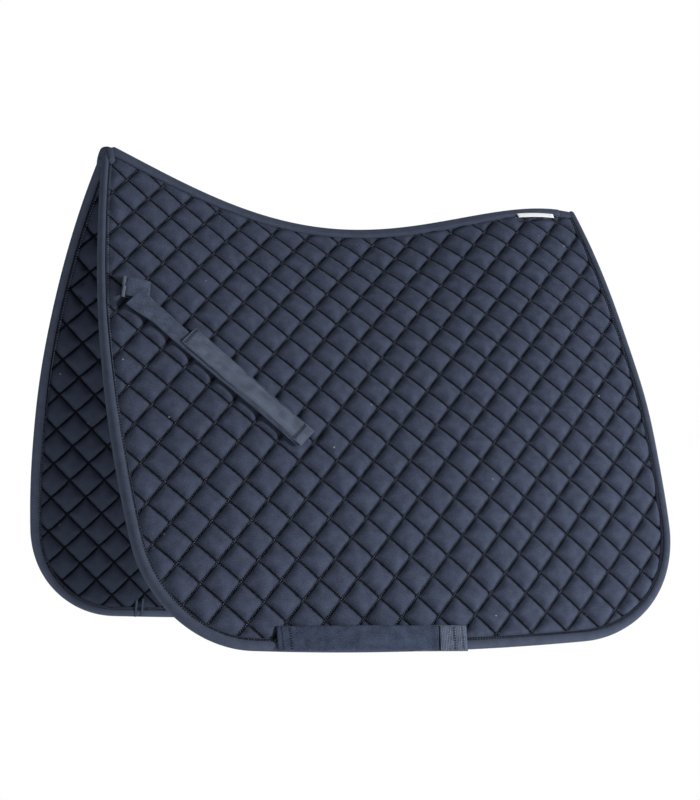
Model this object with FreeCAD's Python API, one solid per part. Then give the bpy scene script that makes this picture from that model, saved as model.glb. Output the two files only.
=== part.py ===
import FreeCAD, Part
import math
import os

os.makedirs("parts", exist_ok=True)
V = FreeCAD.Vector

# Quilted saddle pad on its formed shape. X runs from the withers to the rear, Y across
# the horse, Z up. The left panel is on the -Y side and the right panel is its mirror.
# The origin is under the inner seam tape of the spine, at mid-length.

# Driving dimensions, in millimetres
SPINE_X = (-300, -150, 0, 150, 300)
SPINE_Z = (93, 34, 13.6, 37, 52)
HEM_Z = -449
HEM_REACH = (236, 10, 6)
PANEL_BOW = (36, 4, -18)
COVER_T = 1.0
PADDING_T = 6.0
LINING_T = 1.0
LAYER_GAP = 0.05
BINDING_W = 12.0
BINDING_T = 1.0
TAPE_HALF_W = 11.0
TAPE_REAR_HALF_W = 8.0
TAPE_T = 1.2
FLEX_Z = -45
FLEX_GAP = 20
GIRTH_W = 25
GIRTH_FRONT_X = -191
GIRTH_REAR_X = 21
GIRTH_FREE_X = -12
GIRTH_SLACK = 10
BILLET_W = 22
BILLET_TAPE_W = 26
BILLET_TAPE_SHIFT = 4
WEB_T = 1.6

PANEL_T = COVER_T + PADDING_T + LINING_T
STATIONS = [-355 + 76 * i for i in range(10)]


def quadratic(c, x):
    u = x / 300
    return c[0] + c[1] * u + c[2] * u * u


def spine_height(x):
    """Height of the topline: the smooth curve through the five spine points."""
    z = 0
    for i, xi in enumerate(SPINE_X):
        w = 1
        for j, xj in enumerate(SPINE_X):
            if i != j:
                w *= (x - xj) / (xi - xj)
        z += w * SPINE_Z[i]
    return z


def section(x):
    """Arc of the left panel's outer face across the horse at x, from spine to hem level.
    Returns its centre y and z, its radius, and its angles at the hem and at the spine."""
    top = spine_height(x)
    reach = quadratic(HEM_REACH, x)
    bow = quadratic(PANEL_BOW, x)
    chord = math.hypot(reach, top - HEM_Z)
    radius = chord * chord / (8 * bow) + bow / 2
    dy = -reach / chord
    dz = (HEM_Z - top) / chord
    cy = -reach / 2 - dz * (radius - bow)
    cz = (top + HEM_Z) / 2 + dy * (radius - bow)
    low = math.atan2(HEM_Z - cz, cy + reach)
    high = math.atan2(top - cz, cy)
    return cy, cz, radius, low, high


def arc_point(x, angle, out):
    cy, cz, radius, low, high = section(x)
    r = radius + out
    return V(x, cy - r * math.cos(angle), cz + r * math.sin(angle))


def skin(x, up, out):
    """Point of the left panel at x, up along the cloth from hem level, out from its face."""
    cy, cz, radius, low, high = section(x)
    return arc_point(x, low + up / radius, out)


def band_wire(x, inner, outer, low, high):
    mid = (low + high) / 2
    a, b, c = [arc_point(x, t, outer) for t in (low, mid, high)]
    d, e, f = [arc_point(x, t, inner) for t in (high, mid, low)]
    edges = [
        Part.Arc(a, b, c).toShape(),
        Part.makeLine(c, d),
        Part.Arc(d, e, f).toShape(),
        Part.makeLine(f, a),
    ]
    return Part.Wire(edges)


def band(inner, outer):
    """Panel-shaped slab between two offsets from the outer face, larger than the panel."""
    wires = []
    for x in STATIONS:
        cy, cz, radius, low, high = section(x)
        wires.append(band_wire(x, inner, outer, low - 45 / radius, high + 32 / radius))
    return Part.makeLoft(wires, True, False)


def outline(grow):
    """Side outline of one panel, open above the spine, grown outward by grow."""
    corners = [
        (-282, 152), (-338, -190), (-329, -334),
        (-329, -334), (-290.6, -408.7), (-214.4, -441.8),
        (-214.4, -441.8), (-25, -449.8), (164, -446.9),
        (164, -446.9), (262, -400.7), (296.6, -326.5),
        (296.6, -326.5), (313.5, -100), (293, 152),
    ]
    points = [V(x, 0, z) for x, z in corners]
    edges = [Part.Arc(*points[i : i + 3]).toShape() for i in range(0, len(points), 3)]
    edges.append(Part.makeLine(points[-1], points[0]))
    wire = Part.Wire(edges)
    if grow:
        wire = wire.makeOffset2D(grow, 0)
    face = Part.Face(wire)
    face.translate(V(0, -330, 0))
    return face.extrude(V(0, 330, 0))


def level(low, high):
    return Part.makeBox(900, 700, high - low, V(-450, -350, low))


def one(shape):
    """The shape's solids as one clean solid."""
    shape = shape.removeSplitter()
    solids = sorted(shape.Solids, key=lambda s: s.Volume)
    return solids[-1]


def frame_at(x, up):
    """Point and unit directions on the cloth: along X, up the cloth, and outward."""
    p = skin(x, up, 0)
    along = (skin(x + 1, up, 0) - skin(x - 1, up, 0)).normalize()
    rise = (skin(x, up + 1, 0) - skin(x, up - 1, 0)).normalize()
    out = rise.cross(along).normalize()
    if out.y > 0:
        out = out * -1
    return p, along, rise, out


def strip(path, width):
    """Strap laid on the cloth. path holds (x, up, inner offset, outer offset)."""
    wires = []
    for i, (x, up, inner, outer) in enumerate(path):
        p, along, rise, out = frame_at(x, up)
        before = path[max(i - 1, 0)]
        after = path[min(i + 1, len(path) - 1)]
        run = skin(after[0], after[1], 0) - skin(before[0], before[1], 0)
        across = out.cross(run).normalize() * (width / 2)
        low = p + out * inner
        high = p + out * outer
        corners = [low - across, low + across, high + across, high - across]
        wires.append(Part.makePolygon(corners + corners[:1]))
    return Part.makeLoft(wires, True, False)


def mirrored(shape):
    return shape.mirror(V(0, 0, 0), V(0, 1, 0))


nodes = {}


def both(name, shape):
    nodes[name + "_left"] = shape
    nodes[name + "_right"] = mirrored(shape)


# Panel layers, each cut to the outline and split into the arch over the spine and the
# flap below the flex line
plan = outline(0)
arch_level = level(FLEX_Z + FLEX_GAP / 2, 260)
flap_level = level(-520, FLEX_Z - FLEX_GAP / 2)
layers = {
    "cover": (-COVER_T, 0),
    "padding": (-COVER_T - PADDING_T + LAYER_GAP, -COVER_T - LAYER_GAP),
    "lining": (-PANEL_T, -COVER_T - PADDING_T),
}
for name, (inner, outer) in layers.items():
    slab = band(inner, outer).common(plan)
    both(name + "_arch", one(slab.common(arch_level)))
    both(name + "_flap", one(slab.common(flap_level)))

# Edge binding: a strip folded over the front, hem and rear edges
rim = outline(BINDING_T).cut(outline(-BINDING_W))
wrap = band(-PANEL_T - BINDING_T, BINDING_T).common(rim)
wrap = wrap.cut(band(-PANEL_T, 0).common(plan))
upper = wrap.common(arch_level)
front_box = Part.makeBox(450, 700, 700, V(-450, -350, -500))
rear_box = Part.makeBox(450, 700, 700, V(0, -350, -500))
both("binding_front", one(upper.common(front_box)))
both("binding_rear", one(upper.common(rear_box)))
binding = one(wrap.common(flap_level))
both("binding_flap", binding)

# Spine tape over the topline and the seam tape under it, between the bindings
ends = outline(-BINDING_W - 0.2)


def tape_half(x):
    """Width of one side of the spine tape, which narrows towards the rear."""
    t = min(1, max(0, (x - 120) / 130))
    return TAPE_HALF_W + t * (TAPE_REAR_HALF_W - TAPE_HALF_W)


def ridge(inner, outer):
    """One tape folded over the spine, from side to side."""
    wires = []
    for x in STATIONS:
        cy, cz, radius, low, high = section(x)
        centre = math.acos(cy / (radius + inner))
        edge = centre - tape_half(x) / radius
        wires.append(band_wire(x, inner, outer, edge, high + 32 / radius))
    half = Part.makeLoft(wires, True, False).common(ends)
    return one(half.fuse(mirrored(half)))


nodes["spine_tape"] = ridge(LAYER_GAP, TAPE_T)
nodes["seam_tape"] = ridge(-PANEL_T - TAPE_T, -PANEL_T - 0.25)

# Care label: its upper edge is caught beside the spine tape near the rear
label = []
for x in (221, 237, 253, 269):
    cy, cz, radius, low, high = section(x)
    length = (high - low) * radius
    label.append((x, length - tape_half(x) - 3.9, 2 * LAYER_GAP, 0.5))
nodes["care_label"] = strip(label, 7)

# Girth strap along the hem: front end sewn down, slack in the middle, free end closed on
# the rear patch
flap_shell = band(-PANEL_T, 0)


def girth_up(x):
    return 20 - 7 * (x - GIRTH_FRONT_X) / (GIRTH_REAR_X - GIRTH_FRONT_X)


def on_girth(xs, inner, outer):
    return [(x, girth_up(x), inner, outer) for x in xs]


anchor_end = GIRTH_FRONT_X + 12
anchor = strip(on_girth((GIRTH_FRONT_X, GIRTH_FRONT_X + 6, anchor_end), 0, 3.2), GIRTH_W)
both("girth_hem", one(anchor.cut(binding).cut(flap_shell)))
patch = strip(on_girth((-46, -24, -2, GIRTH_REAR_X), 0, 2.4), GIRTH_W + 2)
both("girth_patch", one(patch.cut(binding).cut(flap_shell)))

strap_start = anchor_end + 0.4
strap_end = GIRTH_FREE_X
girth = []
for i in range(12):
    t = i / 11
    x = strap_start + t * (strap_end - strap_start)
    s = min(1, (strap_end - 34 - x) / (strap_end - 34 - strap_start))
    rise = math.sin(math.pi * max(0, s)) ** 0.6 if s > 0 else 0
    base = 1.6 + 2.0 * t
    inner = base + (GIRTH_SLACK - base) * rise
    girth.append((x, girth_up(x), inner, inner + WEB_T))
both("girth_strap", strip(girth, GIRTH_W))

# Billet strap: underlayer sewn to the panel, a fold at its top and the strap lying on it.
# Its hook tape is sewn on a little nearer the spine than the webbing.
BILLET_TOP = (-289, 387)
BILLET_END = (-134, 226)


def on_billet(ts, inner, outer, shift=0):
    run_x = BILLET_END[0] - BILLET_TOP[0]
    run_up = BILLET_END[1] - BILLET_TOP[1]
    length = math.hypot(run_x, run_up)
    path = []
    for t in ts:
        x = BILLET_TOP[0] + t * run_x - shift * run_up / length
        up = BILLET_TOP[1] + t * run_up + shift * run_x / length
        path.append((x, up, inner, outer))
    return path


def spread(a, b, n):
    return [a + (b - a) * i / (n - 1) for i in range(n)]


under = strip(on_billet(spread(0.0, 0.975, 8), 0, WEB_T), BILLET_W)
both("billet_underlayer", one(under.cut(flap_shell)))
fold = strip(on_billet(spread(-0.09, -0.004, 3), 0, 3.6), BILLET_W + 6)
both("billet_fold", one(fold.cut(flap_shell)))
both("billet_strap", strip(on_billet(spread(0.0, 1.0, 9), 2.1, 3.6), BILLET_W))
tape = on_billet(spread(0.27, 1.0, 7), 3.6 + 3 * LAYER_GAP, 4.9, BILLET_TAPE_SHIFT)
both("billet_tape", strip(tape, BILLET_TAPE_W))

for name, shape in nodes.items():
    shape.exportStep("parts/" + name + ".step")
    c = shape.CenterOfMass
    print(name, shape.isValid(), len(shape.Solids), round(shape.Volume), c)
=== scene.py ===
import bpy
import math
import numpy as np
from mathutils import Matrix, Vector
from mathutils.kdtree import KDTree


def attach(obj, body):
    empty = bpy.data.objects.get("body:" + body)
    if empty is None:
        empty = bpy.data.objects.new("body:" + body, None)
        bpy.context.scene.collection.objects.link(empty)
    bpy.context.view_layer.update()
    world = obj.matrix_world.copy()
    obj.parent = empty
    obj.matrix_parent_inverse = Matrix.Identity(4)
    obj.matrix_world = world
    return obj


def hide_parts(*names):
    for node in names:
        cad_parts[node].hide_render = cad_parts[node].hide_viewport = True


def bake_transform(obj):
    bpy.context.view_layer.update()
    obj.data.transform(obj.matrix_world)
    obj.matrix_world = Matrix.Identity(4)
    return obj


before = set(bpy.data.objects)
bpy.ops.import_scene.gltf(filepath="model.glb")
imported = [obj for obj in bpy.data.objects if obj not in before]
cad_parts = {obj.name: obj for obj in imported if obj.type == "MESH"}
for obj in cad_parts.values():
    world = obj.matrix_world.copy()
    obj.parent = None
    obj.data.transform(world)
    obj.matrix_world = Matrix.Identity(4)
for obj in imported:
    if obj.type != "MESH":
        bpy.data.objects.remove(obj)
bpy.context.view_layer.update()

# The pad's formed shape, as the CAD model has it. Lengths are in millimetres, and pieces
# are laid out on the flat cloth: x along the horse, up along the cloth from hem level,
# out from the panel's outer face.
SPINE_X = (-300, -150, 0, 150, 300)
SPINE_Z = (93, 34, 13.6, 37, 52)
HEM_Z = -449
HEM_REACH = (236, 10, 6)
PANEL_BOW = (36, 4, -18)
LEFT, RIGHT = -1, 1
SIDES = {"left": LEFT, "right": RIGHT}

# Millimetres are scaled by these for the frame, which is in metres, and for the weave's UVs
MM = 0.001
UV_SCALE = 0.01

# Side outline of a panel as (x, z): arcs through three points, and how many points each
# arc is drawn with. It starts and ends above the topline.
OUTLINE = (
    ((-282, 152), (-338, -190), (-329, -334), 120),
    ((-329, -334), (-290.6, -408.7), (-214.4, -441.8), 60),
    ((-214.4, -441.8), (-25, -449.8), (164, -446.9), 90),
    ((164, -446.9), (262, -400.7), (296.6, -326.5), 60),
    ((296.6, -326.5), (313.5, -100), (293, 152), 120),
)

# The edge is followed to this far above the topline, and its place up the cloth is taken
# this far under the outer face
RIM_OVER_SPINE = 14
RIM_DEPTH = 3

# The front end of the topline is sewn down to this height, which rises to the rear
WITHERS_X = -290
WITHERS_TOP = 89.0
WITHERS_SLOPE = 0.9

# Every point of a side stays CENTRE_GAP from the centre plane, and stops CREST_GAP short
# of it along the cloth
CENTRE_GAP = 0.05
CREST_GAP = 0.1

# Spine tape: half its width at the front, how much narrower that is at the rear, and
# the stretch of x over which it narrows
TAPE_HALF = 11
TAPE_NARROWS = 3
TAPE_FROM, TAPE_OVER = 120, 130
TAPE_START, TAPE_END = -296, 281

# Quilting: square diamonds, with seams at every whole u and every whole v of a lattice
# that reaches REACH cells each way. Each cell is a grid of STEPS by STEPS.
CELL = 30.2
HALF = CELL / math.sqrt(2)
REACH = 24
STEPS = 14
STITCH = 2.6
LATTICE_X = 36.7
LATTICE_UP = 163.9
LATTICE_LEAN = 0.0316
LATTICE_STRETCH = 1.005
CROWDING = 0.6

# Heights of the cover and of the lining: at the seams, at the binding and at the topline,
# and how far a puff rises
SEAM_OUT, LIP_OUT, RIDGE_OUT, RISE_OUT = -4.0, -2.2, -0.8, 7.2
SEAM_IN, LIP_IN, RIDGE_IN, RISE_IN = -5.3, -6.2, -7.3, 7.4

# The quilting is flat up to this far from the edge and from the tape, and rises to its
# full height over this much more
EDGE_FLAT, EDGE_EASE = 11.6, 5
TOP_FLAT, TOP_EASE = -1.0, 6

# Shares of the puffs' height that the billet strap and the label press down
STRAP_PRESS = 0.3
LABEL_PRESS = 0.95

# Puffs: height of the simulated puff that counts as full, how full their domes are made,
# the share of the simulation's unevenness that stays, and the size of the table that
# says which puff goes where
PUFF_FULL = 6.0
PUFF_SHARP = 1.25
UNEVEN = 0.35
TABLE = 80

# The simulated block: its cells each way and its scale. Its cloth starts as low domes of
# uneven height, slightly rough, in metres at real size.
SIM_CELLS = 8
SIM_SCALE = 20
START_LEVELS = (0.5, 1.3)
START_HEIGHT = 0.0012
START_NOISE = 0.00012

# Straps and label. The billet strap is where the CAD model has it, and the hem strap and
# the label are within a few millimetres of their place there.
BILLET_TOP = np.array([-289.0, 387.0])
BILLET_END = np.array([-134.0, 226.0])
BILLET_LENGTH = float(np.linalg.norm(BILLET_END - BILLET_TOP))
BILLET_RUN = (BILLET_END - BILLET_TOP) / BILLET_LENGTH
BILLET_ACROSS = np.array([-BILLET_RUN[1], BILLET_RUN[0]])
GIRTH_FRONT = np.array([-191.0, 18.6])
GIRTH_REAR = np.array([20.0, 11.0])
GIRTH_FREE = 0.842
LABEL_X = (219, 269)


def ease(t):
    t = np.clip(t, 0, 1)
    return t * t * (3 - 2 * t)


def quadratic(c, x):
    u = x / 300
    return c[0] + c[1] * u + c[2] * u * u


def spine_height(x):
    """Height of the topline: the smooth curve through the five spine points."""
    z = 0
    for i, xi in enumerate(SPINE_X):
        w = 1
        for j, xj in enumerate(SPINE_X):
            if i != j:
                w = w * (x - xj) / (xi - xj)
        z = z + w * SPINE_Z[i]
    return z


def section(x):
    """Centre y and z, radius, and hem angle of the panel's arc across the horse."""
    top = spine_height(x)
    reach = quadratic(HEM_REACH, x)
    bow = quadratic(PANEL_BOW, x)
    chord = np.hypot(reach, top - HEM_Z)
    radius = chord * chord / (8 * bow) + bow / 2
    dy = -reach / chord
    dz = (HEM_Z - top) / chord
    cy = -reach / 2 - dz * (radius - bow)
    cz = (top + HEM_Z) / 2 + dy * (radius - bow)
    low = np.arctan2(HEM_Z - cz, cy + reach)
    return cy, cz, radius, low


def crest(x, out):
    """How far up the cloth the centre plane is, for a layer at this offset."""
    cy, cz, radius, low = section(x)
    return radius * (np.arccos(np.clip(cy / (radius + out), -1, 1)) - low)


def tape_half(x):
    """Half the spine tape's width: it narrows towards the rear."""
    return TAPE_HALF - TAPE_NARROWS * ease((x - TAPE_FROM) / TAPE_OVER)


def lie(x, up, side):
    """Slight unevenness of the cloth, in millimetres out."""
    s = 0.9 * side
    fade = np.clip((crest(x, 0) - up) / 60, 0, 1)
    a = np.sin(x / 61 + up / 93 + s) * np.cos(up / 57 - x / 140 + 2 * s)
    b = np.sin(x / 33 - up / 47 + 3 * s) * np.cos(up / 39 + x / 71)
    return fade * (1.1 * a + 0.45 * b)


def cloth(x, up, out, side):
    """Points of the pad, in metres, from their place on the flat cloth."""
    x, up, out = np.broadcast_arrays(*[np.asarray(v, float) for v in (x, up, out)])
    up = np.minimum(up, crest(x, out) - CREST_GAP)
    cy, cz, radius, low = section(x)
    r = radius + out + lie(x, up, side)
    angle = low + up / radius
    y = np.minimum(cy - r * np.cos(angle), -CENTRE_GAP)
    z = cz + r * np.sin(angle)
    z = np.minimum(z, WITHERS_TOP + WITHERS_SLOPE * np.maximum(x - WITHERS_X, 0))
    return np.stack([x, -side * y, z], -1) * MM


def flat(u, v):
    """Place on the flat cloth of a point of the quilting lattice."""
    up = LATTICE_UP - HALF * (u - v)
    return (HALF * (u + v) + LATTICE_X - LATTICE_LEAN * up) / LATTICE_STRETCH, up


def arc(a, b, c, n):
    """n points along the circle through three points of the side outline."""
    a, b, c = [complex(*p) for p in (a, b, c)]
    w = (c - a) / (b - a)
    centre = (b - a) * (w - abs(w) ** 2) / (2j * w.imag) + a
    turn = np.unwrap([np.angle(p - centre) for p in (a, b, c)])
    p = centre + abs(a - centre) * np.exp(1j * np.linspace(turn[0], turn[2], n))
    return np.stack([p.real, p.imag], 1)


def lengths(line):
    """Distance along a line at each of its points."""
    gaps = np.linalg.norm(np.diff(line[:, :2], axis=0), axis=1)
    return np.concatenate([[0], np.cumsum(gaps)])


def at(line, distance):
    """Points of a line at these distances along it."""
    s = lengths(line)
    return np.stack([np.interp(distance, s, line[:, k]) for k in range(line.shape[1])], -1)


def even(line, step):
    """The same line with its points at an even step."""
    full = lengths(line)[-1]
    return at(line, np.linspace(0, full, max(2, round(full / step) + 1)))


def direction(line):
    run = np.gradient(line[:, :2], axis=0)
    return run / np.linalg.norm(run, axis=1)[:, None]


def left_of(run):
    return np.stack([-run[:, 1], run[:, 0]], 1)


def rim_line():
    """The panel's edge on the flat cloth, from the withers round the hem to the rear."""
    side = np.concatenate([arc(*run) for run in OUTLINE])
    side = side[side[:, 1] < spine_height(side[:, 0]) + RIM_OVER_SPINE]
    x, z = side.T
    cy, cz, radius, low = section(x)
    up = radius * (np.arcsin((z - cz) / (radius - RIM_DEPTH)) - low)
    return even(np.stack([x, up], 1), 1.0)


RIM = rim_line()
RIM_IN = left_of(direction(RIM))
tree = KDTree(len(RIM))
for i, (x, up) in enumerate(RIM):
    tree.insert((x, up, 0), i)
tree.balance()


def inset(x, up):
    """Distance in from the panel's edge along the cloth."""
    near = np.array([tree.find((a, b, 0))[1] for a, b in zip(x, up)])
    gap = np.stack([x, up], 1) - RIM[near]
    return (gap * RIM_IN[near]).sum(1)


# Mesh helpers


def add_uv(me, name, uv):
    layer = me.uv_layers.new(name=name)
    corners = np.empty(len(me.loops), int)
    me.loops.foreach_get("vertex_index", corners)
    layer.data.foreach_set("uv", uv.reshape(-1, 2)[corners].astype(np.float32).ravel())


def piece(name, co, faces, uv, quilt=None):
    me = bpy.data.meshes.new(name)
    me.from_pydata(co.reshape(-1, 3).tolist(), [], [list(map(int, f)) for f in faces])
    add_uv(me, "cloth", uv)
    if quilt is not None:
        add_uv(me, "quilt", quilt)
    me.polygons.foreach_set("use_smooth", [True] * len(me.polygons))
    me.update()
    ob = bpy.data.objects.new(name, me)
    bpy.context.scene.collection.objects.link(ob)
    return ob


def grid_faces(rows, cols, closed=False):
    index = np.arange(rows * cols).reshape(rows, cols)
    if closed:
        index = np.concatenate([index, index[:, :1]], 1)
    a, b = index[:-1, :-1], index[1:, :-1]
    c, d = index[1:, 1:], index[:-1, 1:]
    return np.stack([a, b, c, d], -1).reshape(-1, 4)


def tube_faces(rows, cols):
    faces = [list(f) for f in grid_faces(rows, cols, closed=True)]
    faces.append(list(range(cols)))
    faces.append(list(range((rows - 1) * cols, rows * cols))[::-1])
    return faces


def sweep(name, line, profile, side, spread=1.0, wobble=None):
    """Closed section swept along a line (x, up, out) of the flat cloth. The profile is
    (width, out) pairs, its width measured to the left of the line."""
    across = left_of(direction(line))
    profile = np.array(profile, float)
    run = lengths(line)
    width = profile[:, 0] * np.broadcast_to(spread, len(line))[:, None]
    out = profile[:, 1] + line[:, 2:3]
    if wobble is not None:
        out = out + wobble(run[:, None], profile[None, :, 0])
    x = line[:, 0:1] + across[:, 0:1] * width
    up = line[:, 1:2] + across[:, 1:2] * width
    co = cloth(x, up, out, side)
    faces = tube_faces(len(line), len(profile))
    if side == LEFT:
        faces = [f[::-1] for f in faces]
    lap = lengths(profile)
    uv = np.stack(np.broadcast_arrays(run[:, None], lap[None, :]), -1) * UV_SCALE
    return piece(name, co, faces, uv)


def tube(name, points, radius):
    """Round roll through points in millimetres, closed and rounded at both ends."""
    points = np.array(points, float)
    knots = np.arange(len(points))
    t = np.linspace(0, len(points) - 1, 8 * len(points))
    path = np.stack([np.interp(t, knots, points[:, k]) for k in range(3)], 1)
    for _ in range(6):
        path[1:-1] = (path[:-2] + 2 * path[1:-1] + path[2:]) / 4
    run = np.gradient(path, axis=0)
    run /= np.linalg.norm(run, axis=1)[:, None]
    side = np.cross(run, (1.0, 0.2, 0.0))
    side /= np.linalg.norm(side, axis=1)[:, None]
    front = np.cross(side, run)
    end = np.minimum(t, t[-1] - t) / 0.45
    size = radius * np.sqrt(1 - np.clip(1 - end, 0, 0.98) ** 2)
    turn = np.linspace(0, 2 * np.pi, 17)[:-1]
    ring = side[:, None] * np.cos(turn)[:, None] + front[:, None] * np.sin(turn)[:, None]
    co = path[:, None] + size[:, None, None] * ring
    uv = np.stack(np.broadcast_arrays(lengths(path)[:, None], radius * turn[None, :]), -1) * UV_SCALE
    return piece(name, co * MM, tube_faces(len(path), len(turn)), uv)


def beads(name, rows, side, length=2.1, width=0.9, height=0.5):
    """Stitches: small beads on the cloth. Each row is x, up, out and the direction."""
    x, up, out, dx, dup = rows.T
    norm = np.hypot(dx, dup)
    dx, dup = dx / norm, dup / norm
    h, w = length / 2, width / 2
    points = [
        cloth(x - h * dx, up - h * dup, out - 0.25, side),
        cloth(x - w * dup, up + w * dx, out, side),
        cloth(x, up, out + height, side),
        cloth(x + w * dup, up - w * dx, out, side),
        cloth(x, up, out - 0.4, side),
        cloth(x + h * dx, up + h * dup, out - 0.25, side),
    ]
    base = (np.arange(len(x)) * 6)[:, None, None]
    start_end = [(0, 2, 1), (0, 3, 2), (0, 4, 3), (0, 1, 4)]
    far_end = [(5, 1, 2), (5, 2, 3), (5, 3, 4), (5, 4, 1)]
    faces = (base + np.array(start_end + far_end)[None]).reshape(-1, 3)
    if side == LEFT:
        faces = faces[:, ::-1]
    uv = np.stack([x, up], -1)[:, None, :].repeat(6, 1) * UV_SCALE
    return piece(name, np.stack(points, 1), faces, uv)


def stitch_row(a, b, pitch, out, turned=False):
    """Rows for beads from a to b, laid along the row or turned across it."""
    a, b = np.array(a, float), np.array(b, float)
    gap = b - a
    n = max(1, round(float(np.linalg.norm(gap)) / pitch))
    t = (np.arange(n) + 0.5) / n
    along = np.array([-gap[1], gap[0]]) if turned else gap
    rows = np.empty((n, 5))
    rows[:, :2] = a + t[:, None] * gap
    rows[:, 2] = out
    rows[:, 3:] = along
    return rows


# Quilting puffs, from a small cloth simulation

# Grid lines of a cell lie closer together towards its seams
LINES = np.arange(STEPS) / STEPS
LINES = LINES - CROWDING * np.sin(2 * np.pi * LINES) / (2 * np.pi)


def blow_up(co, pinned, size):
    """Cloth simulation of a flat quilted block with air under its cells."""
    ob = piece("quilt_block", co, grid_faces(size, size), co[..., :2])
    seams = np.nonzero(pinned.ravel())[0].tolist()
    ob.vertex_groups.new(name="seams").add(seams, 1.0, "REPLACE")
    sim = ob.modifiers.new("cloth", "CLOTH")
    s = sim.settings
    s.quality = 6
    s.mass = 0.3
    s.tension_stiffness = 6
    s.compression_stiffness = 6
    s.shear_stiffness = 4
    s.bending_stiffness = 0.3
    s.vertex_group_mass = "seams"
    s.use_pressure = True
    s.uniform_pressure_force = 4
    s.shrink_min = -0.08
    s.effector_weights.gravity = 0
    sim.collision_settings.use_collision = False
    sim.collision_settings.use_self_collision = False
    sim.point_cache.frame_start = 1
    sim.point_cache.frame_end = 30
    for number in range(1, 28):
        bpy.context.scene.frame_set(number)
    solved = ob.evaluated_get(bpy.context.evaluated_depsgraph_get())
    blown = np.empty(co.size)
    solved.data.vertices.foreach_get("co", blown)
    bpy.context.scene.frame_set(1)
    bpy.data.objects.remove(ob)
    return blown.reshape(co.shape)


def even_block(blocks):
    """The mean puff, made the same on all four sides."""
    mean = blocks.mean(0)
    rise = mean[..., 2]
    rise = (rise + rise[::-1]) / 2
    rise = (rise + rise[:, ::-1]) / 2
    rise = (rise + rise.T) / 2
    slide = mean[..., 0]
    slide = (slide - slide[::-1]) / 2
    slide = (slide + slide[:, ::-1]) / 4
    return np.stack([slide, slide.T, rise], -1)


def puffs(cells, seed):
    """Movement of each grid point of a puff, in millimetres along u and along v, and the
    share of its full height, for a block of cells simulated at SIM_SCALE times its size."""
    scale = SIM_SCALE
    count = cells * STEPS + 1
    step = np.arange(count)
    side = CELL * MM * scale
    g = side * (step // STEPS + LINES[step % STEPS])
    fx, fy = np.meshgrid(g, g, indexing="ij")
    bump = np.abs(np.sin(np.pi * (g / side % 1)))
    dome = np.outer(bump, bump)
    rng = np.random.RandomState(seed)
    level = rng.uniform(*START_LEVELS, (cells + 1, cells + 1))
    start = dome * level[np.ix_(step // STEPS, step // STEPS)] * START_HEIGHT * scale
    start += dome * rng.normal(0, START_NOISE * scale, dome.shape)
    pinned = np.zeros(dome.shape, bool)
    pinned[::STEPS, :] = True
    pinned[:, ::STEPS] = True
    co = blow_up(np.stack([fx, fy, start], -1), pinned, count)
    moved = (co - np.stack([fx, fy, 0 * fx], -1)) * 1000 / scale
    full = np.clip(moved[..., 2] / PUFF_FULL, 0, 1)
    moved[..., 2] = 1 - (1 - full) ** PUFF_SHARP
    blocks = [
        moved[i * STEPS : (i + 1) * STEPS + 1, j * STEPS : (j + 1) * STEPS + 1]
        for i in range(cells)
        for j in range(cells)
    ]
    blocks = np.array(blocks)
    mean = even_block(blocks)
    return mean + UNEVEN * (blocks - mean)


BLOCKS = puffs(SIM_CELLS, 5)


def puff_at(iu, iv, seed):
    """Movement of lattice points iu, iv, taken from cells chosen at random."""
    cu, cv = iu // STEPS, iv // STEPS
    rng = np.random.RandomState(seed)
    pick = rng.randint(0, len(BLOCKS), (TABLE, TABLE))
    turn = rng.randint(0, 8, (TABLE, TABLE))
    kind = turn[cu % TABLE, cv % TABLE]
    block = pick[cu % TABLE, cv % TABLE]
    fu, fv = iu - cu * STEPS, iv - cv * STEPS
    su = np.where(kind & 1, STEPS - fu, fu)
    sv = np.where(kind & 2, STEPS - fv, fv)
    swap = (kind & 4) > 0
    move = BLOCKS[block, np.where(swap, sv, su), np.where(swap, su, sv)]
    du = np.where(swap, move[:, 1], move[:, 0]) * np.where(kind & 1, -1, 1)
    dv = np.where(swap, move[:, 0], move[:, 1]) * np.where(kind & 2, -1, 1)
    return du, dv, move[:, 2]


def near_edges(x, up):
    """Two shares that are 1 out on the panel and fall to 0, one at the binding and one at
    the spine tape, and the distance in from the edge."""
    d = inset(x, up)
    top = crest(x, 0) - up - tape_half(x)
    return ease((d - EDGE_FLAT) / EDGE_EASE), ease((top - TOP_FLAT) / TOP_EASE), d


def pressed(x, up, side):
    """Share of the puffs' height left under the billet strap and under the label."""
    gap = np.stack([x, up], 1) - BILLET_TOP
    along = gap @ BILLET_RUN
    across = gap @ BILLET_ACROSS
    strap = ease((16 - np.abs(across - 1)) / 5)
    strap = strap * ease((along + 24) / 8) * ease((BILLET_LENGTH + 4 - along) / 8)
    left = 1 - STRAP_PRESS * strap
    if side == LEFT:
        edge = crest(x, 0) - tape_half(x) - up
        inside = ease((x - LABEL_X[0] + 8) / 8) * ease((LABEL_X[1] + 8 - x) / 8)
        left = left * (1 - LABEL_PRESS * inside * ease((12 - edge) / 5))
    return left


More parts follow.
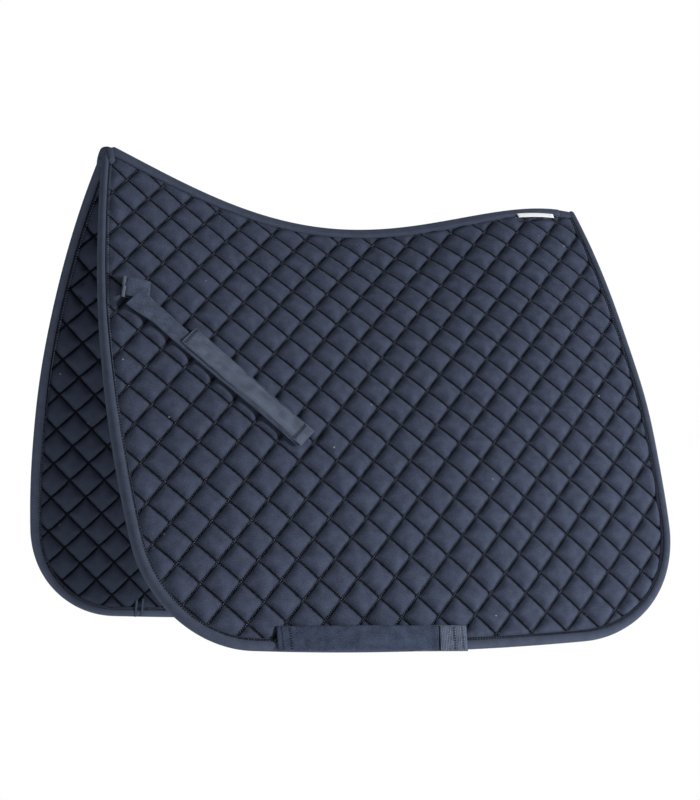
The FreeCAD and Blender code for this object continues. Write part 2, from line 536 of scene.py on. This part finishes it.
def panel(name, side):
    """Closed quilted mesh: the cover's sheet, the lining's sheet and a narrow rim."""
    index = np.arange(-REACH * STEPS, REACH * STEPS + 1)
    iu, iv = np.meshgrid(index, index, indexing="ij")
    u, v = iu // STEPS + LINES[iu % STEPS], iv // STEPS + LINES[iv % STEPS]
    x, up = flat(u, v)
    keep = (x > -350) & (x < 330) & (up > -4) & (up < crest(x, -4) - 1.5)
    keep[keep] = inset(x[keep], up[keep]) > 3.5
    face = keep[:-1, :-1] & keep[1:, :-1] & keep[1:, 1:] & keep[:-1, 1:]
    used = np.zeros(keep.shape, bool)
    for a, b in ((0, 0), (1, 0), (1, 1), (0, 1)):
        used[a : a + face.shape[0], b : b + face.shape[1]] |= face
    n = int(used.sum())
    number = np.full(keep.shape, -1)
    number[used] = np.arange(n)
    i, j = np.nonzero(face)
    quads = np.stack([number[i, j], number[i + 1, j], number[i + 1, j + 1], number[i, j + 1]], 1)
    x, up, ku, kv = x[used], up[used], iu[used], iv[used]
    rim, top, _ = near_edges(x, up)
    sheets = []
    for seam, lip, ridge, rise, seed in (
        (SEAM_OUT, LIP_OUT, RIDGE_OUT, RISE_OUT, 11),
        (SEAM_IN, LIP_IN, RIDGE_IN, -RISE_IN, 12),
    ):
        du, dv, puff = puff_at(ku, kv, seed + side)
        if rise > 0:
            puff = puff * pressed(x, up, side)
        out = lip + (seam + rise * puff * top - lip) * rim
        out = ridge + (out - ridge) * top
        # one lattice direction runs down the cloth and the other up it
        sx = (du + dv) * math.sqrt(0.5) * rim * top
        sup = (dv - du) * math.sqrt(0.5) * rim * top
        sheets.append(cloth(x + sx, up + sup, out, side))
    pairs = np.concatenate([quads[:, [k, (k + 1) % 4]] for k in range(4)])
    _, first, count = np.unique(np.sort(pairs, 1), axis=0, return_index=True, return_counts=True)
    edge = pairs[first[count == 1]]
    band = np.stack([edge[:, 1], edge[:, 0], edge[:, 0] + n, edge[:, 1] + n], 1)
    faces = np.concatenate([quads, quads[:, ::-1] + n, band])
    if side == RIGHT:
        faces = faces[:, ::-1]
    uv = np.tile(np.stack([x, up], 1) * UV_SCALE, (2, 1))
    quilt = np.tile(np.stack([u[used], v[used]], 1), (2, 1))
    ob = piece(name, np.concatenate(sheets), faces, uv, quilt)
    inner = np.zeros(len(faces), np.int32)
    inner[len(quads) : 2 * len(quads)] = 1
    return ob, inner


# Materials


def node(nt, kind, inputs, **settings):
    """Add a node. inputs maps a socket to a value or to another node's output."""
    new = nt.nodes.new("ShaderNode" + kind)
    for key, value in settings.items():
        setattr(new, key, value)
    for key, value in inputs.items():
        if isinstance(value, bpy.types.NodeSocket):
            nt.links.new(value, new.inputs[key])
        else:
            new.inputs[key].default_value = value
    return new.outputs


def calc(nt, operation, a, b=0.0):
    return node(nt, "Math", {0: a, 1: b}, operation=operation)[0]


def ramp(nt, value, low, high, start, end):
    inputs = {"Value": value, "From Min": low, "From Max": high, "To Min": start, "To Max": end}
    return node(nt, "MapRange", inputs, interpolation_type="SMOOTHSTEP")[0]


def seam_shade_and_puckers(nt):
    """Painted shade near the quilting seams, a thin dark line with a fainter band beside it, and the
    puckers that the stitches pull into the cloth.
    """
    place = node(nt, "UVMap", {}, uv_map="quilt")[0]
    axes = node(nt, "SeparateXYZ", {0: place})
    lines, puckers = [], []
    for across, along in ((axes[0], axes[1]), (axes[1], axes[0])):
        gap = calc(nt, "PINGPONG", across, 0.5)
        narrow = calc(nt, "MULTIPLY", ramp(nt, gap, 0.0, 0.085, 1, 0), 0.75)
        lines.append(calc(nt, "ADD", narrow, ramp(nt, gap, 0.02, 0.35, 0.25, 0)))
        wave = calc(nt, "SINE", calc(nt, "MULTIPLY", along, 2 * math.pi * CELL / STITCH))
        wave = calc(nt, "ADD", calc(nt, "MULTIPLY", wave, 0.5), 0.5)
        puckers.append(calc(nt, "MULTIPLY", wave, ramp(nt, gap, 0.01, 0.13, 1, 0)))
    return calc(nt, "MAXIMUM", *lines), calc(nt, "ADD", *puckers)


def fabric(name, colour, rough=0.85, sheen=0.015, weave=45, depth=0.35, shade=0.18, lint=0.0,
           rib=0.0, seams=0.0, shaded_grooves=()):
    """Woven cloth: twill and grain bump, soft mottling and sheen. It can also have specks
    of lint, ribs across its length, painted shade along the quilting seams, and painted
    shade in a narrow strip at each sewn groove, at places given as millimetres round a section."""
    mat = bpy.data.materials.new(name)
    mat.use_nodes = True
    nt = mat.node_tree
    bsdf = nt.nodes["Principled BSDF"]
    bsdf.inputs["Sheen Weight"].default_value = sheen
    bsdf.inputs["Sheen Roughness"].default_value = 0.45
    bsdf.inputs["Sheen Tint"].default_value = (0.72, 0.78, 0.95, 1)
    bsdf.inputs["Specular IOR Level"].default_value = 0.03
    uv = node(nt, "UVMap", {}, uv_map="cloth")[0]
    mottle = node(nt, "TexNoise", {"Vector": uv, "Scale": 9, "Detail": 6})["Fac"]
    fine = node(nt, "TexNoise", {"Vector": uv, "Scale": 75, "Detail": 4, "Roughness": 0.7})["Fac"]
    patchy = calc(nt, "ADD", calc(nt, "MULTIPLY", mottle, 0.7), calc(nt, "MULTIPLY", fine, 1.3))
    tone = ramp(nt, patchy, 0.7, 1.3, 1 - shade, 1 + shade)
    if seams:
        # painted shade: the colour darkens near each quilting seam, as much as seams gives
        seam, pucker = seam_shade_and_puckers(nt)
        tone = calc(nt, "MULTIPLY", tone, ramp(nt, seam, 0, 1, 1, 1 - seams))
    lap = node(nt, "SeparateXYZ", {0: uv})[1] if shaded_grooves else None
    # painted shade in each sewn groove: a narrow strip at each of these laps is darkened
    for place in shaded_grooves:
        gap = calc(nt, "ABSOLUTE", calc(nt, "SUBTRACT", lap, place * UV_SCALE))
        dark = ramp(nt, gap, 0.007, 0.022, 0.15, 1)
        tone = calc(nt, "MULTIPLY", tone, dark)
    if rib:
        ribs = node(nt, "TexWave", {"Vector": uv, "Scale": rib, "Distortion": 1.5})["Fac"]
        tone = calc(nt, "MULTIPLY", tone, ramp(nt, ribs, 0, 1, 0.72, 1.28))
    base = node(nt, "VectorMath", {0: colour, "Scale": tone}, operation="SCALE")[0]
    if lint:
        spots = node(nt, "TexVoronoi", {"Vector": uv, "Scale": 3.4})["Distance"]
        speck = calc(nt, "MULTIPLY", calc(nt, "LESS_THAN", spots, 0.028), lint)
        base = node(nt, "Mix", {0: speck, 6: base, 7: (0.35, 0.37, 0.42, 1)}, data_type="RGBA")[2]
    nt.links.new(base, bsdf.inputs["Base Color"])
    roughness = ramp(nt, fine, 0, 1, rough - 0.08, min(1, rough + 0.08))
    nt.links.new(roughness, bsdf.inputs["Roughness"])
    turned = node(nt, "Mapping", {"Vector": uv, "Rotation": (0, 0, math.radians(38))})[0]
    twill = node(nt, "TexWave", {"Vector": turned, "Scale": weave, "Distortion": 0.6})["Fac"]
    bumps = [(twill, depth, 0.0003), (fine, depth, 0.0007)]
    if rib:
        bumps.append((ribs, 0.6, 0.0005))
    if seams:
        bumps.append((pucker, 0.8, 0.0011))
    normal = None
    for height, strength, distance in bumps:
        inputs = {"Height": height, "Strength": strength, "Distance": distance}
        if normal is not None:
            inputs["Normal"] = normal
        normal = node(nt, "Bump", inputs)[0]
    nt.links.new(normal, bsdf.inputs["Normal"])
    return mat


# the cover and the lining get painted shade along their quilting seams; seams gives how dark
COVER = fabric("cover_twill", (0.048, 0.0585, 0.093), shade=0.30, lint=0.8, seams=0.85)
COVER_PLAIN = fabric("cover_edge", (0.050, 0.061, 0.096), shade=0.26)
LINING = fabric("lining_knit", (0.028, 0.035, 0.057), weave=35, lint=0.4, seams=0.9)
BINDING = fabric("binding_twill", (0.050, 0.061, 0.094), sheen=0.03)
THREAD = fabric("thread", (0.17, 0.195, 0.25), rough=0.6, sheen=0.1, shade=0.1)
DARK_THREAD = fabric("dark_thread", (0.010, 0.013, 0.022), rough=0.7, shade=0.1)
HEAVY_WEAVE = {"sheen": 0.03, "weave": 30, "depth": 0.7, "shade": 0.45}
WEBBING = fabric("webbing", (0.042, 0.054, 0.089), **HEAVY_WEAVE)
BRIGHT_WEBBING = fabric("billet_webbing", (0.062, 0.077, 0.118), **HEAVY_WEAVE)
FRAYED = fabric("frayed_webbing", (0.12, 0.14, 0.19), depth=0.8, shade=0.4)
HOOK = fabric("hook_tape", (0.100, 0.121, 0.172), sheen=0.03, depth=0.8, shade=0.5, rib=16)
SATIN = fabric("label_satin", (0.92, 0.92, 0.92), rough=0.4, sheen=0.1, shade=0.02)


def finish_piece(ob, material):
    ob.data.materials.append(material)


def carried(ob, material, slot, body, *nodes):
    """Finish a piece that rides on one body and stands for these CAD nodes, if any."""
    finish_piece(ob, material)
    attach(ob, body)
    if nodes:
        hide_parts(*nodes)


def across_flex(ob):
    """Bakes the piece's transform into its mesh."""
    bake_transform(ob)


def across_hinge(ob):
    """Bakes the strap's transform into its mesh."""
    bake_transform(ob)


# Panels, binding and threads on each side

# The binding's section round the panel's edge: millimetres in from the edge, and out.
# It runs from the inner edge on the cover round the fold to the inner edge on the lining.
BINDING_PROFILE = [
    (12.9, -3.6), (12.6, -1.4), (11.9, -0.4), (10.7, -0.9), (9.6, 0.2), (7.8, 1.4), (5.6, 1.9),
    (3.4, 1.4), (1.6, 0.0), (0.5, -2.0), (0.2, -4.4), (0.5, -6.8), (1.6, -8.6), (3.4, -9.7),
    (5.6, -10.2), (7.8, -9.8), (9.6, -8.8), (10.7, -7.8), (11.9, -8.3), (12.6, -7.4), (12.9, -6.2),
    (12.0, -4.7),
]
BINDING_SEW = 10.7
BINDING_PITCH = 3.2
BINDING_LAP = lengths(np.array(BINDING_PROFILE))
# Laps round the binding's section where it is sewn down in a groove on each face; a strip there gets
# painted shade
SHADED_GROOVES = (BINDING_LAP[3], BINDING_LAP[17])
SEWN = fabric("sewn_binding", (0.056, 0.068, 0.104), sheen=0.03, shaded_grooves=SHADED_GROOVES)

# The quilting thread lies this far out of its seam and ends this far in from the edge.
# The seams that were sewn first are crossed by the others and lie deeper.
THREAD_LIFT = 0.4
THREAD_END = 13.6
FIRST_SEWN_DEPTH = 0.7


def binding_wobble(run, width):
    """Slight puckers of the binding along its sewn edge."""
    puckers = np.sin(run * 0.9) + 0.6 * np.sin(run * 0.31 + 1)
    slope = np.clip((width - 4) / 7, 0, 1)
    return 0.16 * puckers * slope + 0.3 * np.sin(run / 31)


def seam_stitches(inner):
    """Rows for the quilting stitches along both families of seams, on the cover or on the
    lining, which is the inner face."""
    t = np.arange(-REACH, REACH, STITCH / CELL)
    rows = []
    for k in range(-REACH, REACH + 1):
        for family in (0, 1):
            across = np.full(t.shape, float(k))
            x, up = flat(across, t) if family else flat(t, across)
            turn = np.full(t.shape, 1.0 if family else -1.0)
            depth = FIRST_SEWN_DEPTH * (1 - family)
            rows.append(np.stack([x, up, 0 * x - depth, 1 + 0 * x, turn], 1))
    rows = np.concatenate(rows)
    x, up = rows[:, 0], rows[:, 1]
    near = (x > -345) & (x < 325) & (up > 5)
    near &= up < crest(x, -8 if inner else 0) - tape_half(x) - 0.5
    rows = rows[near]
    rim, top, d = near_edges(rows[:, 0], rows[:, 1])
    seam, lip, ridge = SEAM_OUT + THREAD_LIFT, LIP_OUT, RIDGE_OUT
    if inner:
        seam, lip, ridge = SEAM_IN - THREAD_LIFT, LIP_IN, RIDGE_IN
    out = lip + (seam - lip) * rim
    rows[:, 2] += ridge + (out - ridge) * top
    return rows[d > THREAD_END]


def binding_rows():
    """Stitch rows on both faces of the binding."""
    s = np.arange(BINDING_PITCH / 2, lengths(RIM)[-1], BINDING_PITCH)
    place = at(RIM, s) + BINDING_SEW * at(np.concatenate([RIM, RIM_IN], 1), s)[:, 2:]
    run = np.gradient(place, axis=0)
    keep = place[:, 1] < crest(place[:, 0], 0) - tape_half(place[:, 0])
    faces = []
    for out in (-0.75, -7.9):
        faces.append(np.concatenate([place, np.full((len(s), 1), out), run], 1)[keep])
    return np.concatenate(faces)


for label, side in SIDES.items():
    ob, inner = panel("panel_" + label, side)
    ob.data.materials.append(COVER)
    ob.data.materials.append(LINING)
    ob.data.polygons.foreach_set("material_index", inner)
    across_flex(ob)
    nodes = []
    for layer in ("cover", "padding", "lining"):
        nodes += [layer + "_arch_" + label, layer + "_flap_" + label]
    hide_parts(*nodes)

    # near the withers the front edge curls, which leaves less of the binding's width flat
    line = np.concatenate([RIM, np.zeros((len(RIM), 1))], 1)
    spread = 1 - 0.25 * ease((RIM[:, 1] - 240) / 160) * (RIM[:, 0] < 0)
    ob = sweep("binding_" + label, line, BINDING_PROFILE, side, spread, binding_wobble)
    finish_piece(ob, SEWN)
    across_flex(ob)
    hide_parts(*["binding_" + part + "_" + label for part in ("front", "rear", "flap")])

    ob = beads("binding_stitches_" + label, binding_rows(), side, 1.9, 1.0, 0.6)
    finish_piece(ob, THREAD)
    across_flex(ob)

    ob = beads("quilting_thread_" + label, seam_stitches(False), side, 1.7, 1.1, 0.7)
    finish_piece(ob, THREAD)
    across_flex(ob)
    ob = beads("lining_thread_" + label, seam_stitches(True), side, width=0.8, height=0.35)
    finish_piece(ob, DARK_THREAD)
    across_flex(ob)


# Spine tape and seam tape: strips folded over the topline, each one mesh on both sides.
# Behind them a strip closes the rear end of the topline.


def ridge(name, inner, outer, half, start, end):
    """Strip over the topline from start to end, between two heights over the cloth. half
    gives half its width at each x. Its edge is pulled down by the sewing."""
    t = np.array([1.0, 0.93, 0.6, 0.3, 0.1, 0.0])
    crown = np.array([-0.9, 0, 0, 0.1, 0.2, 0.25])
    xs = np.linspace(start, end, 150)
    rows = []
    for x in xs:
        faces = []
        for side in (LEFT, RIGHT):
            upper = cloth(x, crest(x, outer) - half(x) * t, outer + crown, side)
            lower = cloth(x, crest(x, inner) - half(x) * t, inner + 0 * t, side)
            faces.append((upper, lower))
        (upper, lower), (far_upper, far_lower) = faces
        rows.append(np.concatenate([upper, far_upper[::-1], far_lower, lower[::-1]]))
    co = np.array(rows)
    count = co.shape[1]
    run, lap = xs[:, None] * UV_SCALE, np.arange(count)[None] * 0.02
    uv = np.stack(np.broadcast_arrays(run, lap), -1)
    return piece(name, co, tube_faces(len(xs), count), uv)


tape = ridge("spine_tape_cover", -0.8, 0.9, tape_half, TAPE_START, TAPE_END)
carried(tape, BINDING, "binding_tape", "arch", "spine_tape")
tape = ridge("seam_tape_cover", -7.6, -8.9, lambda x: 10.0, -290, 290)
carried(tape, BINDING, "binding_tape", "arch", "seam_tape")
ridge_end = ridge("ridge_end", -7.4, 0.5, lambda x: 7.5, TAPE_END + 0.8, 297)
carried(ridge_end, COVER_PLAIN, "cover_fabric", "arch")
for label, side in SIDES.items():
    x = np.arange(-286, TAPE_END - 2, STITCH)
    up = crest(x, 0.9) - tape_half(x) + 1.6
    rows = np.stack([x, up, 0.85 + 0 * x, 1 + 0 * x, np.gradient(up) / STITCH], 1)
    ob = beads("spine_stitches_" + label, rows, side, width=0.8, height=0.3)
    carried(ob, THREAD, "binding_tape", "arch")

# The bindings' ends are turned in and sewn over each other at the withers. Points are
# (x, y, z).
turned_in = [
    (-295, -11, 70), (-296, -7, 78), (-296, -3, 84.5),
    (-299, 3, 85), (-300, 8, 78), (-300, 12, 69),
]
carried(tube("wither_roll", turned_in, 5.0), BINDING, "binding_tape", "arch")
tucked = [(-301, 1, 76), (-303, 5, 74), (-302, 9, 67)]
carried(tube("wither_tuck", tucked, 3.2), BINDING, "binding_tape", "arch")


# Straps

BILLET_WIDTH = 21
BILLET_TAPE_WIDTH = 25
BILLET_TAPE_START = 60.0
BILLET_TAPE_END = BILLET_LENGTH + 1.0
GIRTH_WIDTH = 25

# Webbing thins by a share over its selvedges. The hook tape's band is a share of its width.
SELVEDGE = 0.9
SELVEDGE_THINS = 0.6
BAND_SHARE = 0.36

# The billet tape lies this far across the strap's line at its two ends
TAPE_SHIFT_TOP = 6.2
TAPE_SHIFT_END = 3.6

# The lines that the billet strap's fold and its cut end are swept along, as (x, up)
FOLD = (-293.5, 390.5), (-289.7, 411.6)
CUT = (-308.6, 391.0), (-304.0, 413.8)

# The fold's section: it bends at the rear and opens to the front, under the cut end
FOLD_PROFILE = [
    (13.0, 0.0), (-10.0, 0.0), (-13.2, 1.0), (-14.4, 2.6), (-13.4, 4.4), (-10.0, 5.2), (0.0, 5.4),
    (9.0, 4.8), (15.0, 4.4), (15.2, 3.2), (9.0, 3.5), (0.0, 4.1), (-9.6, 3.9), (-12.0, 3.2),
    (-12.6, 2.4), (-11.6, 1.6), (-9.6, 1.2), (13.0, 1.2),
]
CUT_PROFILE = [(-1.8, 0), (1.8, 0), (1.6, 1.3), (0.5, 1.7), (-0.8, 1.2), (-1.9, 0.8)]
# Section of the dark strip laid across the hem strap's free end: painted shadow of that end's edge
END_SHADOW_PROFILE = [(-0.9, 0), (0.9, 0), (0.9, 1.4), (0, 1.7), (-0.9, 1.4)]
TACK_PROFILE = [(1.6, 0.6), (0.8, -0.5), (-0.8, -0.5), (-1.6, 0.6)]

# Sewing across the hem strap: kind, pitch, the stitches' length and width, and for each
# line of sewing its share of the way to the rear and its height
GIRTH_SEWING = (
    ("row", 2.6, 2.0, 1.2, ((0.022, 3.9), (0.976, 2.95))),
    ("bar", 2.7, 4.4, 1.3, ((0.065, 3.9), (0.93, 2.95))),
)


def ribbon(name, line, width, thick, side, spread=1.0, band=0.0):
    """Flat webbing along a line, with rounded selvedges and, on hook tape, a recessed
    band along its middle."""
    half = width / 2
    w = np.linspace(-half, half, 25)
    fall = np.clip((np.abs(w) - half + SELVEDGE) / SELVEDGE, 0, 1) ** 2
    top = thick * (1 - fall * SELVEDGE_THINS) - band * (np.abs(w) < half * BAND_SHARE)
    profile = [(half - 0.1, 0.0), (0, 0.0), (-half + 0.1, 0.0)]
    profile += list(zip(w, top))
    return sweep(name, line, profile[::-1], side, spread)


def straight(a, b, step, out):
    """Straight line from a to b. out gives its height from the share of its length."""
    line = even(np.array([a, b], float), step)
    s = lengths(line)
    height = np.broadcast_to(out(s / s[-1]), s.shape)
    return np.concatenate([line, height[:, None]], 1)


def billet_point(along, across=0.0):
    return BILLET_TOP + along * BILLET_RUN + across * BILLET_ACROSS


def girth_point(t):
    return GIRTH_FRONT + t * (GIRTH_REAR - GIRTH_FRONT)


def crumple(run, width):
    """Creases of the folded webbing."""
    return 0.7 * np.sin(0.42 * run + 0.25 * width) + 0.4 * np.sin(0.9 * run - 0.5 * width)


def fray(run, width):
    """Loose ends of the webbing's yarns along its cut end, which follows the creases."""
    return crumple(run, 15.0) + 0.5 * np.sin(2.9 * run + width) + 0.3 * np.sin(4.3 * run)


def billet_lift(t):
    """Height of the strap over the panel: raised by the fold, then lying on the quilting."""
    return 3.9 + 2.6 * ease(1 - t / 0.25) + 0.35 * np.sin(9 * t + 1) * ease(t * 4)


def tape_lift(t):
    """Height of the hook tape, with a small step up near its end."""
    return 5.5 + 0.25 * np.sin(7 * t) + 0.6 * ease((t - 0.93) / 0.02)


def girth_lift(t):
    """Height of the hem strap: slack in the middle for a girth."""
    return 2.3 + 1.2 * t + 6.0 * np.sin(np.pi * np.clip((t - 0.11) / 0.84, 0, 1)) ** 0.9


def billet_strap(label, side):
    """Billet strap: its lower layer, its folded upper end and the strap itself."""
    flap, billet = "flap_" + label, "billet_" + label

    # the lower layer is narrower than the strap that covers it
    a, b = billet_point(4, 0.5), billet_point(BILLET_LENGTH - 2, -0.8)
    line = straight(a, b, 2, lambda t: 1.9 + 0.4 * np.sin(11 * t))
    ob = ribbon("billet_underlayer_cover_" + label, line, 17, 1.0, side)
    carried(ob, BRIGHT_WEBBING, "webbing", flap, "billet_underlayer_" + label)

    # the strap's upper end is folded back on itself, with its cut end in front
    line = straight(*FOLD, 1.0, lambda t: 1.8 + 1.6 * t)
    ob = sweep("billet_fold_cover_" + label, line, FOLD_PROFILE, side, 1.0, crumple)
    carried(ob, BRIGHT_WEBBING, "webbing", flap, "billet_fold_" + label)
    line = straight(*CUT, 0.7, lambda t: 5.8 + 1.6 * t)
    ob = sweep("billet_cut_end_" + label, line, CUT_PROFILE, side, 1.0, fray)
    carried(ob, FRAYED, "webbing", flap)

    # the strap widens towards the fold
    line = straight(billet_point(-9), billet_point(BILLET_LENGTH), 1.5, billet_lift)
    wider = 1 - ease(lengths(line) / 38)
    line[:, :2] -= 2.9 * wider[:, None] * BILLET_ACROSS
    name = "billet_strap_cover_" + label
    ob = ribbon(name, line, BILLET_WIDTH, 1.3, side, 1 + 0.28 * wider)
    finish_piece(ob, BRIGHT_WEBBING)
    across_hinge(ob)
    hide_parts("billet_strap_" + label)


def billet_tape(label, side):
    """Hook tape on the lower part of the billet strap, with its sewing."""
    start, end, billet = BILLET_TAPE_START, BILLET_TAPE_END, "billet_" + label
    a, b = billet_point(start, TAPE_SHIFT_TOP), billet_point(end, TAPE_SHIFT_END)
    line = straight(a, b, 1.5, tape_lift)
    ob = ribbon("billet_tape_cover_" + label, line, BILLET_TAPE_WIDTH, 1.1, side, band=0.35)
    carried(ob, HOOK, "hook_tape", billet, "billet_tape_" + label)
    bars = []
    for where, low, high, out in ((start + 3.6, -4.5, 17.0, 7.0), (end - 10.5, -7.5, 14.5, 7.5)):
        a, b = billet_point(where, low), billet_point(where, high)
        bars.append(stitch_row(a, b, 2.7, out, turned=True))
    ob = beads("billet_end_bars_" + label, np.concatenate(bars), side, 5.2, 1.3, 0.4)
    carried(ob, DARK_THREAD, "webbing", billet)
    rows = []
    for edge in (-10.9, 10.9):
        a = billet_point(start + 2, TAPE_SHIFT_TOP + edge)
        b = billet_point(end - 2, TAPE_SHIFT_END + edge)
        rows.append(stitch_row(a, b, 2.9, 6.7))
    ob = beads("billet_edge_stitches_" + label, np.concatenate(rows), side, 2.1, 1.4, 0.4)
    carried(ob, DARK_THREAD, "webbing", billet)


def girth_strap(label, side):
    """Hem strap: sewn down at the front, closed on a patch of hook tape at the rear."""
    flap, girth = "flap_" + label, "girth_" + label
    line = straight(GIRTH_FRONT, girth_point(0.057), 1.5, lambda t: 1.2)
    ob = ribbon("girth_hem_cover_" + label, line, GIRTH_WIDTH, 1.0, side)
    carried(ob, WEBBING, "webbing", flap, "girth_hem_" + label)
    line = straight(girth_point(0.7), GIRTH_REAR, 2, lambda t: 1.4)
    ob = ribbon("girth_patch_cover_" + label, line, GIRTH_WIDTH + 2, 1.3, side)
    carried(ob, HOOK, "hook_tape", flap, "girth_patch_" + label)

    line = straight(girth_point(-0.003), girth_point(GIRTH_FREE), 1.5, girth_lift)
    ob = ribbon("girth_strap_cover_" + label, line, GIRTH_WIDTH, 1.2, side)
    finish_piece(ob, WEBBING)
    across_hinge(ob)
    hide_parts("girth_strap_" + label)
    # painted shadow: a dark strip across the strap's free end stands for the shadow that its edge
    # casts
    x, up = girth_point(GIRTH_FREE)
    a, b = (x - 0.4, up - 12.6), (x + 1.6, up + 12.4)
    line = straight(a, b, 2, lambda t: 3.4 + 0.3 * np.sin(5 * t))
    ob = sweep("girth_end_shadow_" + label, line, END_SHADOW_PROFILE, side)
    carried(ob, DARK_THREAD, "webbing", girth)

    for kind, pitch, length, width, places in GIRTH_SEWING:
        rows = []
        for t, out in places:
            x, up = girth_point(t)
            a, b = (x, up - 11.5), (x, up + 11.5)
            rows.append(stitch_row(a, b, pitch, out, turned=kind == "bar"))
        name = "girth_" + kind + "_stitches_" + label
        ob = beads(name, np.concatenate(rows), side, length, width, 0.45)
        carried(ob, DARK_THREAD, "webbing", flap)


def lining_sewing(label, side):
    """The straps' sewing on the lining: a crossed box and two bar tacks."""
    flap = "flap_" + label
    corners = [(-305, 411), (-288, 411), (-288, 428), (-305, 428)]
    rows = [stitch_row(corners[k], corners[(k + 1) % 4], 2.4, -9.6) for k in range(4)]
    rows += [stitch_row(corners[k], corners[k + 2], 2.4, -9.9) for k in (0, 1)]
    ob = beads("lining_box_stitch_" + label, np.concatenate(rows), side, 2.4, 1.0, -0.6)
    carried(ob, DARK_THREAD, "lining_fabric", flap)
    for end, x in (("front", -188.5), ("rear", -180.5)):
        line = straight((x, 8), (x + 0.5, 31), 1.5, lambda t: -10.6)
        ob = sweep("lining_tack_" + end + "_" + label, line, TACK_PROFILE, side)
        carried(ob, BINDING, "binding_tape", flap)


for label, side in SIDES.items():
    billet_strap(label, side)
    billet_tape(label, side)
    girth_strap(label, side)
    lining_sewing(label, side)

# Care label, blank, its upper edge caught under the spine tape. It shows more at the rear.
x = np.linspace(LABEL_X[0], LABEL_X[1], 24)
up = crest(x, 0) - tape_half(x) - 0.6 - 2.2 * (x - x[0]) / (x[-1] - x[0])
line = np.stack([x, up, 0.9 + 0 * x], 1)
ob = ribbon("care_label_cover", line, 6.6, 0.35, LEFT)
carried(ob, SATIN, "label_satin", "arch", "care_label")


# Light, floor and camera, in metres

# Square soft lights: place, side and power in watts
LIGHTS = {
    "key": ((1.9, -1.9, -0.3), 0.4, 84),
    "front": ((-2.4, -0.9, 0.45), 0.5, 17),
    "back": ((0.6, 2.4, 0.5), 1.0, 80),
    "top": ((0.2, 0.1, 2.3), 1.5, 14),
}
LIT_PLACE = Vector((0, -0.05, -0.2))
WORLD_LIGHT = 0.06
FLOOR_Z = -1.55
FLOOR_RADIUS = 4
FLOOR_CORNERS = 48
CAMERA_AZIMUTH = math.radians(-25.3)
CAMERA_ELEVATION = math.radians(-2.0)
CAMERA_DISTANCE = 1.787
CAMERA_TARGET = Vector((-0.1235, -0.2552, -0.193))

for name, (place, size, power) in LIGHTS.items():
    lamp = bpy.data.lights.new(name, "AREA")
    lamp.size = size
    lamp.energy = power
    ob = bpy.data.objects.new(name, lamp)
    ob.location = place
    ob.rotation_euler = (LIT_PLACE - Vector(place)).to_track_quat("-Z", "Y").to_euler()
    bpy.context.scene.collection.objects.link(ob)

# The world is white where the camera sees it, and lights the pad only weakly
world = bpy.data.worlds.new("studio")
world.use_nodes = True
sky = world.node_tree
seen = node(sky, "LightPath", {})["Is Camera Ray"]
strength = node(sky, "MapRange", {"Value": seen, "To Min": WORLD_LIGHT, "To Max": 1.0})[0]
sky.nodes["Background"].inputs[0].default_value = (1, 1, 1, 1)
sky.links.new(strength, sky.nodes["Background"].inputs[1])
bpy.context.scene.world = world
bpy.context.scene.view_settings.view_transform = "Standard"

# The pad hangs at the height of a horse's back above a plain pale floor
turn = np.linspace(0, 2 * np.pi, FLOOR_CORNERS + 1)[:-1]
low = np.full(FLOOR_CORNERS, FLOOR_Z)
disc = np.stack([FLOOR_RADIUS * np.cos(turn), FLOOR_RADIUS * np.sin(turn), low], 1)
floor = piece("floor", disc, [list(range(FLOOR_CORNERS))], disc[:, :2] * 0.1)
pale = bpy.data.materials.new("floor_pale")
pale.use_nodes = True
surface = pale.node_tree.nodes["Principled BSDF"]
surface.inputs["Base Color"].default_value = (0.9, 0.9, 0.9, 1)
surface.inputs["Roughness"].default_value = 0.8
surface.inputs["Emission Color"].default_value = (1, 1, 1, 1)
surface.inputs["Emission Strength"].default_value = 0.5
floor.data.materials.append(pale)

camera = bpy.data.cameras.new("camera")
camera.lens = 80.4
camera.sensor_width = 36
eye = bpy.data.objects.new("camera", camera)
level = math.cos(CAMERA_ELEVATION)
across, depth = math.sin(CAMERA_AZIMUTH) * level, -math.cos(CAMERA_AZIMUTH) * level
back = Vector((across, depth, math.sin(CAMERA_ELEVATION)))
eye.location = CAMERA_TARGET + back * CAMERA_DISTANCE
eye.rotation_euler = back.to_track_quat("Z", "Y").to_euler()
bpy.context.scene.collection.objects.link(eye)
bpy.context.scene.camera = eye
